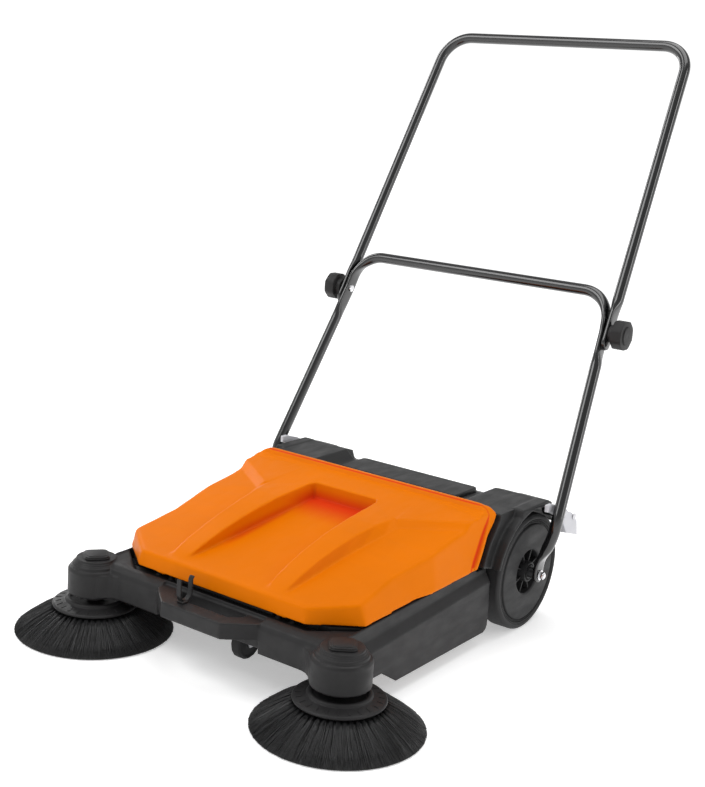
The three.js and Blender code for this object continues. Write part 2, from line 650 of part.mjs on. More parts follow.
// The round belt leaves the wheel pulley in a vertical plane and reaches the brush pulley in a level one.
function makeBelts() {
  const arcSteps = 9;
  const wrapStart = THREE.MathUtils.degToRad(36); // where the outer run meets the brush pulley
  const rear = [];
  const front = [];
  for (let i = 0; i <= arcSteps; i += 1) {
    const turn = (Math.PI * i) / arcSteps;
    rear.push([BELT_X, BELT_WHEEL_R * Math.sin(turn), AXLE_Z + BELT_WHEEL_R * Math.cos(turn)]);
    const wrap = wrapStart + ((Math.PI + wrapStart) * -i) / arcSteps;
    front.push([BRUSH_X + BELT_BRUSH_R * Math.cos(wrap), BRUSH_Y + BELT_BRUSH_R * Math.sin(wrap), BELT_Z]);
  }
  const toBrush = [rear.at(-1), [BELT_X + 1, -60, 65], [197, -150, 68], [205, -300, 70], [210, -405, 71.5],
    [213.5, -428, BELT_Z], front[0]];
  const toWheel = [front.at(-1), [209, -450, 73], [205, -400, 78], [200, -300, 92], [195, -150, 108],
    [BELT_X + 0.5, -60, 115.6], rear[0]];
  const runs = [[rear, 8], [toBrush, 10], [front, 9], [toWheel, 8]];
  const tubes = runs.map(([points, steps]) =>
    tubeAlong(new THREE.CatmullRomCurve3(points.map((p) => new THREE.Vector3(...p))), BELT_R, steps, 5));
  const knots = runs.map(([points]) => new THREE.SphereGeometry(BELT_R, 5, 4).translate(...points[0]));
  placePair('drive_belt', build([...tubes, ...knots]), belt);
}

// ---- handle -------------------------------------------------------------------------------------
// A U-shaped tube from the foot of one leg over the crossbar to the foot of the other.
function frameCurve(foot, joint, top) {
  const leg = foot.map((point) => new THREE.Vector3(...point));
  const knob = new THREE.Vector3(...joint);
  const corner = new THREE.Vector3(top.x, top.y, top.z);
  const middle = new THREE.Vector3(0, top.y, top.z);
  const legBend = corner.clone().add(knob.clone().sub(corner).setLength(BEND_R));
  const barBend = corner.clone().add(middle.clone().sub(corner).setLength(BEND_R));
  const flip = (v) => new THREE.Vector3(-v.x, v.y, v.z);
  const path = new THREE.CurvePath();
  const runs = [...leg, knob];
  for (let i = 0; i + 1 < runs.length; i += 1) {
    path.add(new THREE.LineCurve3(runs[i], runs[i + 1]));
  }
  path.add(new THREE.LineCurve3(knob, legBend));
  path.add(new THREE.QuadraticBezierCurve3(legBend, corner, barBend));
  path.add(new THREE.LineCurve3(barBend, flip(barBend)));
  path.add(new THREE.QuadraticBezierCurve3(flip(barBend), flip(corner), flip(legBend)));
  path.add(new THREE.LineCurve3(flip(legBend), flip(knob)));
  for (let i = runs.length - 1; i > 0; i -= 1) {
    path.add(new THREE.LineCurve3(flip(runs[i]), flip(runs[i - 1])));
  }
  return path;
}

// Squeezes both legs across X around the point (y, z), as where a tube is pressed flat for a bolt.
function flatten(geometry, x, y, z, reach, fade) {
  const position = geometry.attributes.position;
  for (let i = 0; i < position.count; i += 1) {
    const away = Math.hypot(position.getY(i) - y, position.getZ(i) - z);
    const share = THREE.MathUtils.clamp((reach + fade - away) / fade, 0, 1);
    const side = Math.sign(position.getX(i));
    const offset = position.getX(i) - side * x;
    if (share > 0 && Math.abs(offset) < 2 * TUBE_R) {
      const squeeze = 1 + share * (FLAT_HALF / TUBE_R - 1);
      position.setX(i, side * x + offset * squeeze);
    }
  }
  return geometry;
}

function boltHoles(y, z) {
  return both(() => turnX(disc(BOLT_R + GAP, 200, 300), 12, y, z));
}

function makeHandle() {
  const sides = 8;
  const lowerKnob = [LOWER_KNOB_X, KNOB_Y, KNOB_Z];
  const lower = tubeAlong(frameCurve(LEG_BEND, lowerKnob, LOWER_TOP), TUBE_R, 104, sides);
  flatten(lower, LEG_X, 0, AXLE_Z, 16, 16);
  flatten(lower, LOWER_KNOB_X, KNOB_Y, KNOB_Z, 34, 20);
  place('lower_frame', build([lower], [...boltHoles(0, AXLE_Z), ...boltHoles(KNOB_Y, KNOB_Z)]), tubePaint);

  const rise = { y: UPPER_TOP.y - KNOB_Y, z: UPPER_TOP.z - KNOB_Z };
  const tip = 28 / Math.hypot(rise.y, rise.z);
  const upperFoot = [UPPER_KNOB_X + tip * (UPPER_KNOB_X - UPPER_TOP.x), KNOB_Y - tip * rise.y, KNOB_Z - tip * rise.z];
  const upperKnob = [UPPER_KNOB_X, KNOB_Y, KNOB_Z];
  const upper = tubeAlong(frameCurve([upperFoot], upperKnob, UPPER_TOP), TUBE_R, 42, sides);
  flatten(upper, UPPER_KNOB_X, KNOB_Y, KNOB_Z, 34, 20);
  place('upper_handle', build([upper], boltHoles(KNOB_Y, KNOB_Z)), tubePaint);

  const knob = turnX([
    [BOLT_R + GAP, 260.4], [14, 260.4], [15, 267], [22, 268], [KNOB_R, 271], [KNOB_R, 286], [22, 289],
    [BOLT_R + GAP, 289], [BOLT_R + GAP, 260.4],
  ], 8, KNOB_Y, KNOB_Z);
  placePair('clamp_knob', knob, blackPlastic);
  const knobBolt = turnX([
    [0, 241], [5, 241.6], [6.5, 243], [6.5, 244], [BOLT_R, 244], [BOLT_R, 287], [0, 287],
  ], 12, KNOB_Y, KNOB_Z);
  placePair('knob_bolt', knobBolt, steel);
  const axleBolt = turnX([
    [0, 236], [BOLT_R, 236], [BOLT_R, 255.4], [9, 255.4], [9, 257], [7, 257], [7, 262.5], [0, 263.5],
  ], 12, 0, AXLE_Z);
  placePair('axle_bolt', axleBolt, steel);
}

// Catch that holds a leg of the handle: a prong inboard of the leg and a block behind it.
function makeCatches() {
  const plate = shapeOf([[-8, 196], [4, 193], [30, 180], [40, 168], [46, 152], [84, 142], [79, 168], [57, 187],
    [34, 198], [4, 207], [-8, 207]]);
  const block = shapeOf([[16.5, 190], [31, 170], [43, 154], [83, 142], [77, 166], [57, 184], [35, 192], [20, 199]]);
  const nose = shapeOf([[16.5, 190], [25, 183], [30, 192], [20, 199]]);
  const catchBody = build([
    extrudeX(plate, 255, 261.5),
    extrudeX(block, 261, 271),
    extrudeX(nose, 270, 276),
  ], [turnX(disc(3 + GAP, 216, 290), 12, CATCH_Y, CATCH_Z)]);
  placePair('handle_catch', catchBody, greyPlastic);
  const pin = [[0, 221], [3, 221], [3, 271.4], [5, 271.4], [5, 273], [0, 273]];
  placePair('catch_pin', turnX(pin, 12, CATCH_Y, CATCH_Z), steel);
}

// ---- front caster -------------------------------------------------------------------------------
function makeCaster() {
  const wheelY = CASTER_Y + CASTER_TRAIL;
  const plate = box(-13, 13, CASTER_Y - 12, wheelY + 8, 52.5, 55.5);
  const cheeks = both(() => {
    const outline = shapeOf([[CASTER_Y - 10, 53], [CASTER_Y + 2, 40], [wheelY - 6, 20], [wheelY + 6, 20],
      [wheelY + 8, 53]]);
    return extrudeX(outline, 11, 13);
  });
  const axleHoles = turnX(disc(3 + GAP, -20, 20), 12, wheelY, CASTER_R);
  const stem = turnZ([[0, 54], [8, 54], [8, 55.7], [5, 55.7], [5, 66], [0, 66]], 16, 0, CASTER_Y);
  place('caster_fork', build([plate, ...cheeks, stem], [axleHoles]), steel);
  place('caster_nut', turnZ(ring(5.4, 9, 64 + GAP, 68), 12, 0, CASTER_Y), steel);
  const profile = [
    [3 + GAP, -10], [7, -10], [9, -7], [19, -7], [22, -9], [CASTER_R, -6], [CASTER_R, 6], [22, 9], [19, 7], [9, 7],
    [7, 10], [3 + GAP, 10], [3 + GAP, -10],
  ];
  place('caster_wheel', turnX(profile, 16, wheelY, CASTER_R), rubber);
  place('caster_axle', turnX([[0, -15], [5, -15], [5, -13.3], [3, -13.3], [3, 15], [0, 15]], 12, wheelY, CASTER_R),
    steel);
}

makeHood();
makeChassis();
makeClip();
makeRearHousing();
makeHopper();
makeWheels();
makeDrive();
makeSideBrushes();
makeBelts();
makeHandle();
makeCatches();
makeCaster();

export default sweeper;
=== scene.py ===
"""Looks for the walk-behind push sweeper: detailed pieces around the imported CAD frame."""
import math

import bmesh
import bpy
import numpy as np
from mathutils import Matrix, Vector


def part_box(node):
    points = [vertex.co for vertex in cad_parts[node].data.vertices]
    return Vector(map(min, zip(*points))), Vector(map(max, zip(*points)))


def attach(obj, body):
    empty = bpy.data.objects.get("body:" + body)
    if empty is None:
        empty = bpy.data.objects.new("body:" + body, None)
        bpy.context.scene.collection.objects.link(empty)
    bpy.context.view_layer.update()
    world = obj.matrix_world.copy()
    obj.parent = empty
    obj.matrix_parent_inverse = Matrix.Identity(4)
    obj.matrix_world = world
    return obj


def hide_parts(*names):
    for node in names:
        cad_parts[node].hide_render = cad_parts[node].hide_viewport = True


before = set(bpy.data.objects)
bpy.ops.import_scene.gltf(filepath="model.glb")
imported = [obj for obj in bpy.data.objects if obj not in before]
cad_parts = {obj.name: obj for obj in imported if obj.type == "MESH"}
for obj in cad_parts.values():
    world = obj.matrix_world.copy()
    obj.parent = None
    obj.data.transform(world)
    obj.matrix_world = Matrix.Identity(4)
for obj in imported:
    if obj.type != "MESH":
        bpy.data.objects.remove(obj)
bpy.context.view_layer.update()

SIDES = {"right": 1, "left": -1}


def centre_of(node):
    low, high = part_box(node)
    return (low + high) / 2


AXLE_Y = centre_of("tyre_right").y
AXLE_Z = centre_of("tyre_right").z * 1000  # working heights are in millimetres
BRUSH = centre_of("brush_plate_right")
BRUSH_X = BRUSH.x * 1000
BRUSH_Y = (BRUSH.y - AXLE_Y) * 1000

# The tubes, in metres: the round radius, and half the thickness and width where a tube is pressed flat.
TUBE_RADIUS = 0.009
FLAT_HALF = 0.0037
FLAT_WIDE = 0.0122
TUBE_BEND = 0.05  # radius of the tubes' upper corners


def at(x, y, z):
    """A point in metres from millimetres measured from the wheel axle's vertical plane."""
    return Vector((x / 1000, AXLE_Y + y / 1000, z / 1000))


# ---- materials ----------------------------------------------------------------------------------
def new_material(name):
    material = bpy.data.materials.new(name)
    material.use_nodes = True
    tree = material.node_tree
    tree.nodes.clear()
    output = tree.nodes.new("ShaderNodeOutputMaterial")
    shader = tree.nodes.new("ShaderNodeBsdfPrincipled")
    tree.links.new(shader.outputs[0], output.inputs[0])
    coordinates = tree.nodes.new("ShaderNodeTexCoord")
    return material, tree, shader, coordinates.outputs["Object"]


def add_noise(tree, coordinates, scale, detail=3.0, stretch=(1, 1, 1)):
    mapping = tree.nodes.new("ShaderNodeMapping")
    mapping.inputs["Scale"].default_value = stretch
    noise = tree.nodes.new("ShaderNodeTexNoise")
    noise.inputs["Scale"].default_value = scale
    noise.inputs["Detail"].default_value = detail
    tree.links.new(coordinates, mapping.inputs["Vector"])
    tree.links.new(mapping.outputs[0], noise.inputs["Vector"])
    return noise.outputs["Fac"]


def add_range(tree, value, low, high, start=0.3, end=0.7):
    node = tree.nodes.new("ShaderNodeMapRange")
    node.inputs["From Min"].default_value = start
    node.inputs["From Max"].default_value = end
    node.inputs["To Min"].default_value = low
    node.inputs["To Max"].default_value = high
    tree.links.new(value, node.inputs["Value"])
    return node.outputs["Result"]


def add_mix(tree, share, dark, light):
    node = tree.nodes.new("ShaderNodeMix")
    node.data_type = "RGBA"
    for socket, colour in (("A", dark), ("B", light)):
        target = next(i for i in node.inputs if i.name == socket and i.type == "RGBA")
        if isinstance(colour, tuple):
            target.default_value = (*colour, 1)
        else:
            tree.links.new(colour, target)
    tree.links.new(share, node.inputs["Factor"])
    return next(o for o in node.outputs if o.type == "RGBA")


def add_bump(tree, shader, height, strength, distance, before=None):
    bump = tree.nodes.new("ShaderNodeBump")
    bump.inputs["Strength"].default_value = strength
    bump.inputs["Distance"].default_value = distance
    tree.links.new(height, bump.inputs["Height"])
    if before is not None:
        tree.links.new(before, bump.inputs["Normal"])
    tree.links.new(bump.outputs[0], shader.inputs["Normal"])
    return bump.outputs[0]


def scaled(colour, factor):
    return tuple(min(1.0, c * factor) for c in colour)


def plastic(name, colour, roughness, grain=0.25, spread=0.10, wear=0.25, specular=0.5):
    """Moulded plastic: cloudy colour, eroded fine grain, scuffs, and edges rubbed a little lighter."""
    material, tree, shader, coordinates = new_material(name)
    clouds = add_noise(tree, coordinates, 9, 5)
    dark, light = scaled(colour, 1 - spread), scaled(colour, 1 + spread)
    base = add_mix(tree, add_range(tree, clouds, 0, 1), dark, light)
    geometry = tree.nodes.new("ShaderNodeNewGeometry")
    edges = add_range(tree, geometry.outputs["Pointiness"], 0, wear, 0.52, 0.62)
    worn = add_mix(tree, edges, base, scaled(colour, 1.9))
    tree.links.new(worn, shader.inputs["Base Color"])
    scuffs = add_noise(tree, coordinates, 70, 6, (1, 0.35, 1))
    sheen = add_range(tree, scuffs, roughness - 0.07, roughness + 0.09)
    tree.links.new(sheen, shader.inputs["Roughness"])
    fine = add_noise(tree, coordinates, 1500, 2)
    first = add_bump(tree, shader, fine, grain, 0.00012)
    add_bump(tree, shader, clouds, 0.06, 0.002, first)
    shader.inputs["Specular IOR Level"].default_value = specular
    return material


def add_painted_pocket_shade(material, tone):
    """Paints shade into the hood's colour: mixes in a deeper red by the painted-shade share stored in its
    pocket attribute.
    """
    tree = material.node_tree
    shader = next(n for n in tree.nodes if n.type == "BSDF_PRINCIPLED")
    before = shader.inputs["Base Color"].links[0].from_socket
    attribute = tree.nodes.new("ShaderNodeAttribute")
    attribute.attribute_name = "pocket"
    shaded_colour = add_mix(tree, attribute.outputs["Fac"], before, tone)
    tree.links.new(shaded_colour, shader.inputs["Base Color"])


def rubber(name, colour, roughness):
    material, tree, shader, coordinates = new_material(name)
    dust = add_noise(tree, coordinates, 30, 7)
    base = add_mix(tree, add_range(tree, dust, 0, 1, 0.4, 0.8), colour, scaled(colour, 1.8))
    tree.links.new(base, shader.inputs["Base Color"])
    tree.links.new(add_range(tree, dust, roughness - 0.08, roughness + 0.1), shader.inputs["Roughness"])
    add_bump(tree, shader, add_noise(tree, coordinates, 900, 3), 0.35, 0.0002)
    shader.inputs["Specular IOR Level"].default_value = 0.35
    return material


def metal(name, colour, roughness, brushed=(1, 1, 1), strength=0.15):
    material, tree, shader, coordinates = new_material(name)
    streaks = add_noise(tree, coordinates, 260, 6, brushed)
    base = add_mix(tree, add_range(tree, streaks, 0, 1), scaled(colour, 0.82), scaled(colour, 1.1))
    tree.links.new(base, shader.inputs["Base Color"])
    sheen = add_range(tree, streaks, roughness - 0.05, roughness + 0.12)
    tree.links.new(sheen, shader.inputs["Roughness"])
    add_bump(tree, shader, streaks, strength, 0.00008)
    shader.inputs["Metallic"].default_value = 1
    return material


def tube_paint(name, colour):
    """Gloss powder coat with a faint orange-peel skin and small scratches."""
    material, tree, shader, coordinates = new_material(name)
    peel = add_noise(tree, coordinates, 240, 2)
    marks = add_noise(tree, coordinates, 60, 8, (1, 0.2, 0.2))
    base = add_mix(tree, add_range(tree, marks, 0, 1, 0.62, 0.74), colour, scaled(colour, 2.4))
    tree.links.new(base, shader.inputs["Base Color"])
    tree.links.new(add_range(tree, marks, 0.12, 0.24), shader.inputs["Roughness"])
    add_bump(tree, shader, peel, 0.05, 0.0002)
    shader.inputs["Coat Weight"].default_value = 0.6
    shader.inputs["Coat Roughness"].default_value = 0.08
    return material


def filament(name, colour):
    """Stiff plastic bristles: strands differ a little in tone and sheen."""
    material, tree, shader, coordinates = new_material(name)
    strands = add_noise(tree, coordinates, 420, 2)
    tone = add_range(tree, strands, 0, 1, 0.35, 0.65)
    base = add_mix(tree, tone, scaled(colour, 0.5), scaled(colour, 2.2))
    tree.links.new(base, shader.inputs["Base Color"])
    tree.links.new(add_range(tree, strands, 0.35, 0.6), shader.inputs["Roughness"])
    add_bump(tree, shader, strands, 0.2, 0.0002)
    return material


ORANGE = plastic("orange_moulded", (0.70, 0.162, 0.0), 0.4, grain=0.1, spread=0.04, wear=0.02,
                 specular=0.04)
# The deeper red is painted shade for the grip pocket's recesses and for the crease ahead of the rim bead.
add_painted_pocket_shade(ORANGE, (0.62, 0.035, 0.006))
BLACK = plastic("black_moulded", (0.0135, 0.013, 0.0135), 0.5, grain=0.35, specular=0.27)
HOUSING = plastic("housing_moulded", (0.017, 0.017, 0.0175), 0.48, grain=0.35, specular=0.3)
WHEEL_BLACK = plastic("wheel_moulded", (0.012, 0.012, 0.0125), 0.55, grain=0.45, specular=0.28)
GREY = plastic("grey_moulded", (0.52, 0.52, 0.55), 0.42, grain=0.2, spread=0.05, wear=0.1)
IVORY = plastic("gear_moulded", (0.70, 0.68, 0.60), 0.45, spread=0.05, wear=0.1)
TYRE = rubber("tyre_rubber", (0.013, 0.013, 0.0135), 0.62)
SOFT = rubber("soft_rubber", (0.02, 0.02, 0.021), 0.7)
BELT = rubber("belt_rubber", (0.03, 0.028, 0.026), 0.6)
PAINT = tube_paint("tube_gloss", (0.004, 0.004, 0.0045))
STEEL = metal("zinc_steel", (0.58, 0.58, 0.60), 0.36, (1, 6, 1))
DARK_STEEL = metal("dark_steel", (0.05, 0.05, 0.052), 0.42, (1, 6, 1))
CHROME = metal("bright_bolt", (0.80, 0.80, 0.82), 0.16, (1, 1, 1), 0.05)
BRISTLE = filament("black_bristle", (0.011, 0.011, 0.0115))


# ---- mesh helpers -------------------------------------------------------------------------------
BOX_FACES = [(0, 1, 3, 2), (4, 6, 7, 5), (0, 4, 5, 1), (2, 3, 7, 6), (0, 2, 6, 4), (1, 5, 7, 3)]


def new_object(name, vertices, faces):
    mesh = bpy.data.meshes.new(name)
    mesh.from_pydata([tuple(v) for v in vertices], [], [tuple(f) for f in faces])
    mesh.validate()
    mesh.update()
    piece = bpy.data.objects.new(name, mesh)
    bpy.context.scene.collection.objects.link(piece)
    return piece


def settle(piece, sharp=35):
    """Applies a piece's modifiers and shades it smooth except at sharp edges."""
    bpy.context.view_layer.update()
    depsgraph = bpy.context.evaluated_depsgraph_get()
    mesh = bpy.data.meshes.new_from_object(piece.evaluated_get(depsgraph))
    piece.modifiers.clear()
    piece.data = mesh
    mesh.shade_smooth()
    if sharp:
        mesh.set_sharp_from_angle(angle=math.radians(sharp))
    return piece


def finish_piece(piece, material, body, nodes=()):
    """Gives a piece its material and its body, and hides the CAD nodes that it stands for."""
    piece.data.materials.clear()
    piece.data.materials.append(material)
    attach(piece, body)
    if nodes:
        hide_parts(*nodes)
    return piece


def join_geometry(name, parts):
    """One object from several (vertices, faces) lists."""
    vertices, faces = [], []
    for points, polygons in parts:
        start = len(vertices)
        vertices += [Vector(p) for p in points]
        faces += [tuple(start + i for i in polygon) for polygon in polygons]
    return new_object(name, vertices, faces)


def node_geometry(node):
    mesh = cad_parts[node].data
    return [v.co.copy() for v in mesh.vertices], [tuple(p.vertices) for p in mesh.polygons]


def prism_geometry(outline, low, high, axis="Z"):
    """A prism of a 2D outline: (x, y) along Z, (y, z) along X."""
    def place(p, height):
        return at(p[0], p[1], height) if axis == "Z" else at(height, p[0], p[1])
    count = len(outline)
    points = [place(p, low) for p in outline] + [place(p, high) for p in outline]
    faces = [tuple(reversed(range(count))), tuple(range(count, 2 * count))]
    faces += [(i, (i + 1) % count, count + (i + 1) % count, count + i) for i in range(count)]
    return points, faces


def lathe_geometry(profile, centre, axis="Z", segments=96):
    """A closed (radius, height) profile in millimetres turned about an axis; height runs along it."""
    points, faces = [], []
    count = len(profile)
    for i in range(segments):
        angle = 2 * math.pi * i / segments
        for radius, height in profile:
            a, b = radius * math.cos(angle), radius * math.sin(angle)
            if axis == "Z":
                points.append(at(centre[0] + a, centre[1] + b, height))
            else:
                points.append(at(height, centre[0] + a, centre[1] + b))
    for i in range(segments):
        k = (i + 1) % segments
        for j in range(count):
            m = (j + 1) % count
            faces.append((i * count + j, i * count + m, k * count + m, k * count + j))
    return points, faces


def rod_faces(last, sides):
    """The side faces and both end faces of a rod whose rings are numbered 0 to last."""
    faces = []
    for i in range(last):
        for k in range(sides):
            m = (k + 1) % sides
            faces.append((i * sides + k, i * sides + m, (i + 1) * sides + m, (i + 1) * sides + k))
    faces.append(tuple(reversed(range(sides))))
    faces.append(tuple(range(last * sides, (last + 1) * sides)))
    return faces


def on_side(profile, side):
    """A (radius, X) profile on the right or left side of the machine."""
    return [(radius, side * x) for radius, x in profile]


def filleted(profile, radius, steps=4):
    """Rounds the corners of a closed 2D outline."""
    result = []
    count = len(profile)
    for i in range(count):
        corner = Vector(profile[i])
        before = Vector(profile[i - 1]) - corner
        after = Vector(profile[(i + 1) % count]) - corner
        reach = min(radius, before.length * 0.45, after.length * 0.45)
        start, end = corner + before.normalized() * reach, corner + after.normalized() * reach
        for step in range(steps + 1):
            t = step / steps
            point = start * (1 - t) ** 2 + corner * 2 * t * (1 - t) + end * t * t
            result.append((point.x, point.y))
    return result


def tidy_normals(piece):
    """Merges points that coincide and turns all faces outwards."""
    mesh = bmesh.new()
    mesh.from_mesh(piece.data)
    bmesh.ops.remove_doubles(mesh, verts=mesh.verts, dist=1e-6)
    bmesh.ops.recalc_face_normals(mesh, faces=mesh.faces)
    mesh.to_mesh(piece.data)
    mesh.free()
    return piece


def moulded(name, parts, voxel, rounds, sharp=0):
    """Solids melted into one body with softly rounded edges; voxel in millimetres."""
    piece = join_geometry(name, parts)
    remesh = piece.modifiers.new("melt", "REMESH")
    remesh.mode = "VOXEL"
    remesh.voxel_size = voxel / 1000
    soften = piece.modifiers.new("soften", "SMOOTH")
    soften.factor = 0.5
    soften.iterations = rounds
    return settle(piece, sharp)


def bevelled(name, parts, width, segments=3, sharp=35):
    """Closed solids in one piece with bevelled edges; width in millimetres."""
    piece = tidy_normals(join_geometry(name, parts))
    bevel = piece.modifiers.new("bevel", "BEVEL")
    bevel.width = width / 1000
    bevel.segments = segments
    bevel.limit_method = "ANGLE"
    bevel.angle_limit = math.radians(28)
    return settle(piece, sharp)


def turned(name, profile, centre, axis="Z", segments=96, fillet=0.8, sharp=40):
    """A turned piece with filleted corners."""
    geometry = lathe_geometry(filleted(profile, fillet), centre, axis, segments)
    return settle(tidy_normals(join_geometry(name, [geometry])), sharp)


def dress(node, material, width=0.0, segments=2):
    """Keeps a CAD node and gives it its material, smooth shading and a small bevel."""
    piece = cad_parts[node]
    piece.data.materials.clear()
    piece.data.materials.append(material)
    weld = piece.modifiers.new("weld", "WELD")
    weld.merge_threshold = 1e-5
    if width:
        bevel = piece.modifiers.new("bevel", "BEVEL")
        bevel.width = width / 1000
        bevel.segments = segments
        bevel.limit_method = "ANGLE"
        bevel.angle_limit = math.radians(32)
    piece.data.shade_smooth()
    piece.data.set_sharp_from_angle(angle=math.radians(32))


# ---- hood, chassis and rear housing -------------------------------------------------------------
def sweep_geometry(path, radii, sides=20):
    """A closed rod along a path; radii are its half sizes across and up, in metres."""
    points = []
    last = len(path) - 1
    first = Vector((1, 0, 0))
    for i, point in enumerate(path):
        tangent = (path[min(i + 1, last)] - path[max(i - 1, 0)]).normalized()
        first = (first - tangent * first.dot(tangent)).normalized()
        second = tangent.cross(first)
        for k in range(sides):
            angle = 2 * math.pi * k / sides
            across, up = radii[0] * math.cos(angle), radii[1] * math.sin(angle)
            points.append(point + first * across + second * up)
    return points, rod_faces(last, sides)


HOOD_FRONT_Y = -458
# The right half of the hood's lower outline, from the front corner back.
HOOD_SIDE = [(155, HOOD_FRONT_Y), (218, -409), (221.5, -250), (223, -84)]
POCKET_REAR_Y = -171  # rear wall of the grip pocket
POCKET_HALF = 72  # half width over the pocket's side walls
BEAD_RADII = (0.0068, 0.0066)  # half width and half height of the rim bead, in metres


def outline_depth(x, y):
    """How far inside the hood's lower outline a point lies, in millimetres."""
    x = abs(x)
    runs = [((0, HOOD_FRONT_Y), HOOD_SIDE[0])] + list(zip(HOOD_SIDE, HOOD_SIDE[1:]))
    depth = 1e9
    for (x0, y0), (x1, y1) in runs:
        length = math.hypot(x1 - x0, y1 - y0)
        depth = min(depth, abs((x1 - x0) * (y - y0) - (y1 - y0) * (x - x0)) / length)
    return depth


def smooth_share(value, low, high):
    """Rises smoothly from 0 at low to 1 at high; value is a number or an array."""
    t = np.clip((value - low) / (high - low), 0, 1)
    return t * t * (3 - 2 * t)


def hood_edge_z(y):
    """Height of the hood's lower edge."""
    return 114.3 + 0.0315 * (y + 480)


def pocket_floor_z(y):
    """Height of the grip pocket's sloping floor."""
    return 179.4 + 0.1417 * (y - POCKET_REAR_Y)


def soften_rim(hood):
    """Rounds the hood's upper outline more than its inner ridges."""
    group = hood.vertex_groups.new(name="rim")
    for vertex in hood.data.vertices:
        x, y, z = vertex.co.x * 1000, (vertex.co.y - AXLE_Y) * 1000, vertex.co.z * 1000
        share = 1 - smooth_share(outline_depth(x, y), 14, 30)
        share *= smooth_share(z - hood_edge_z(y), 5, 12) * (1 - smooth_share(y, -185, -150))
        if share > 0.01:
            group.add([vertex.index], share, "REPLACE")
    soften = hood.modifiers.new("round_rim", "SMOOTH")
    soften.factor = 0.5
    soften.iterations = 60
    soften.vertex_group = "rim"
    settle(hood, 0)


def offsets_from_path(points, path):
    """The shortest vector from a line of points to each point."""
    nearest = np.full(points.shape, 1e9)
    for start, end in zip(path, path[1:]):
        along = end - start
        share = np.clip((points - start) @ along / (along @ along), 0, 1)
        offset = points - start - share[:, None] * along
        closer = np.linalg.norm(offset, axis=1) < np.linalg.norm(nearest, axis=1)
        nearest[closer] = offset[closer]
    return nearest


def store_painted_pocket_shade(hood):
    """Stores how much painted shade each point takes: deep in the grip pocket's recesses, and along a thin
    crease ahead of the rim bead, where the material is darkened to a deeper red."""
    places = np.array([v.co for v in hood.data.vertices]) * 1000
    offsets = offsets_from_path(places, np.array(bead_path()) * 1000)
    away = np.linalg.norm(offsets, axis=1)
    x, y, z = np.abs(places[:, 0]), places[:, 1] - AXLE_Y * 1000, places[:, 2]
    # Painted shade: a thin line along the bead, on its front side only.
    groove_shade = 0.95 * smooth_share(away, 6, 6.8) * (1 - smooth_share(away, 8, 10))
    groove_shade *= smooth_share(-offsets[:, 1], 2, 5)
    # Painted shade in the deep rear end of the pocket, and at the foot of its two side walls.
    rear = smooth_share(y, -250, -176) * (1 - smooth_share(z, 176, 201))
    wall = smooth_share(x, 50, 62) * (1 - smooth_share(x, 66, POCKET_HALF)) * smooth_share(y, -400, -330)
    low = 1 - smooth_share(z - pocket_floor_z(y), 2, 14)
    inside = (y < POCKET_REAR_Y + 5) * (x < POCKET_HALF)
    pocket = np.maximum(rear, 0.55 * wall * low) * inside
    attribute = hood.data.attributes.new("pocket", "FLOAT", "POINT")
    attribute.data.foreach_set("value", np.maximum(groove_shade, pocket).astype(np.float32))


def cut_corners(points, rounds):
    """Rounds a line of points by cutting every corner at a quarter of its sides."""
    for _ in range(rounds):
        inner = []
        for a, b in zip(points, points[1:]):
            inner += [a.lerp(b, 0.25), a.lerp(b, 0.75)]
        points = [points[0], *inner, points[-1]]
    return points


def bead_path():
    """Centre line of the rim bead: up one side's rear edge, across the back, and down the other side."""
    half = [(217.3, -143, 129), (217.3, -134, 146), (217, -126, 164), (216, -117.5, 181),
            (214.8, -108.5, 194), (210.5, -105, 204), (201, -104.5, 210), (184, -104.5, 210)]
    corners = [at(*p) for p in half] + [at(-x, y, z) for x, y, z in reversed(half)]
    return cut_corners(corners, 3)


def make_hood():
    bead = sweep_geometry(bead_path(), BEAD_RADII)
    hood = moulded("hood_shell", [node_geometry("hood"), bead], 1.5, 7)
    soften_rim(hood)
    # Painted shade: a deeper red in the pocket's recesses and in the crease ahead of the rim bead.
    store_painted_pocket_shade(hood)
    finish_piece(hood, ORANGE, "hood", ["hood"])


def make_domes():
    profile = [(0.2, 63), (37, 63), (37.4, 61.2), (40.6, 61.2), (40.6, 95.6), (38.4, 99.2), (35.4, 100.4),
               (34.9, 103.8), (32.6, 105.4), (31.2, 105.8), (30.9, 108.2), (29.4, 109.4), (28.8, 112.1),
               (0.2, 112.1)]
    for name, side in SIDES.items():
        dome = turned(f"brush_dome_{name}", profile, (side * BRUSH_X, BRUSH_Y), "Z", 128, 1.3)
        finish_piece(dome, BLACK, "chassis_body")


def web_part(side):
    """The concave blend between the front beam and a dome."""
    outline = [(158, -470), (158, -477.8), (168, -478.6), (176, -481), (183, -485.5), (189, -491.5),
               (195, -497.5), (204, -488), (204, -470)]
    outline = [(side * x, y) for x, y in outline]
    return prism_geometry(outline if side > 0 else outline[::-1], 62.4, 96.5)


def hood_seat_part():
    """The raised seat under the hood's front corners, just below the hood's edge and clear of its swing."""
    outline = [(-176, -434), (176, -434), (212, -406), (212, -370), (-212, -370), (-212, -406)]
    return prism_geometry(outline, 98, 113.4)


def make_chassis():
    parts = [node_geometry("chassis"), web_part(1), web_part(-1), hood_seat_part()]
    chassis = moulded("chassis_shell", parts, 1.5, 4)
    finish_piece(chassis, BLACK, "chassis_body", ["chassis"])


def make_rear_housing():
    housing = moulded("rear_shell", [node_geometry("rear_housing")], 1.5, 4)
    finish_piece(housing, HOUSING, "chassis_body", ["rear_housing"])
    cover = moulded("roller_cover_plate", [node_geometry("roller_cover")], 1.2, 8)
    finish_piece(cover, HOUSING, "chassis_body", ["roller_cover"])


# ---- wheels -------------------------------------------------------------------------------------
HUB_RIBS = 8


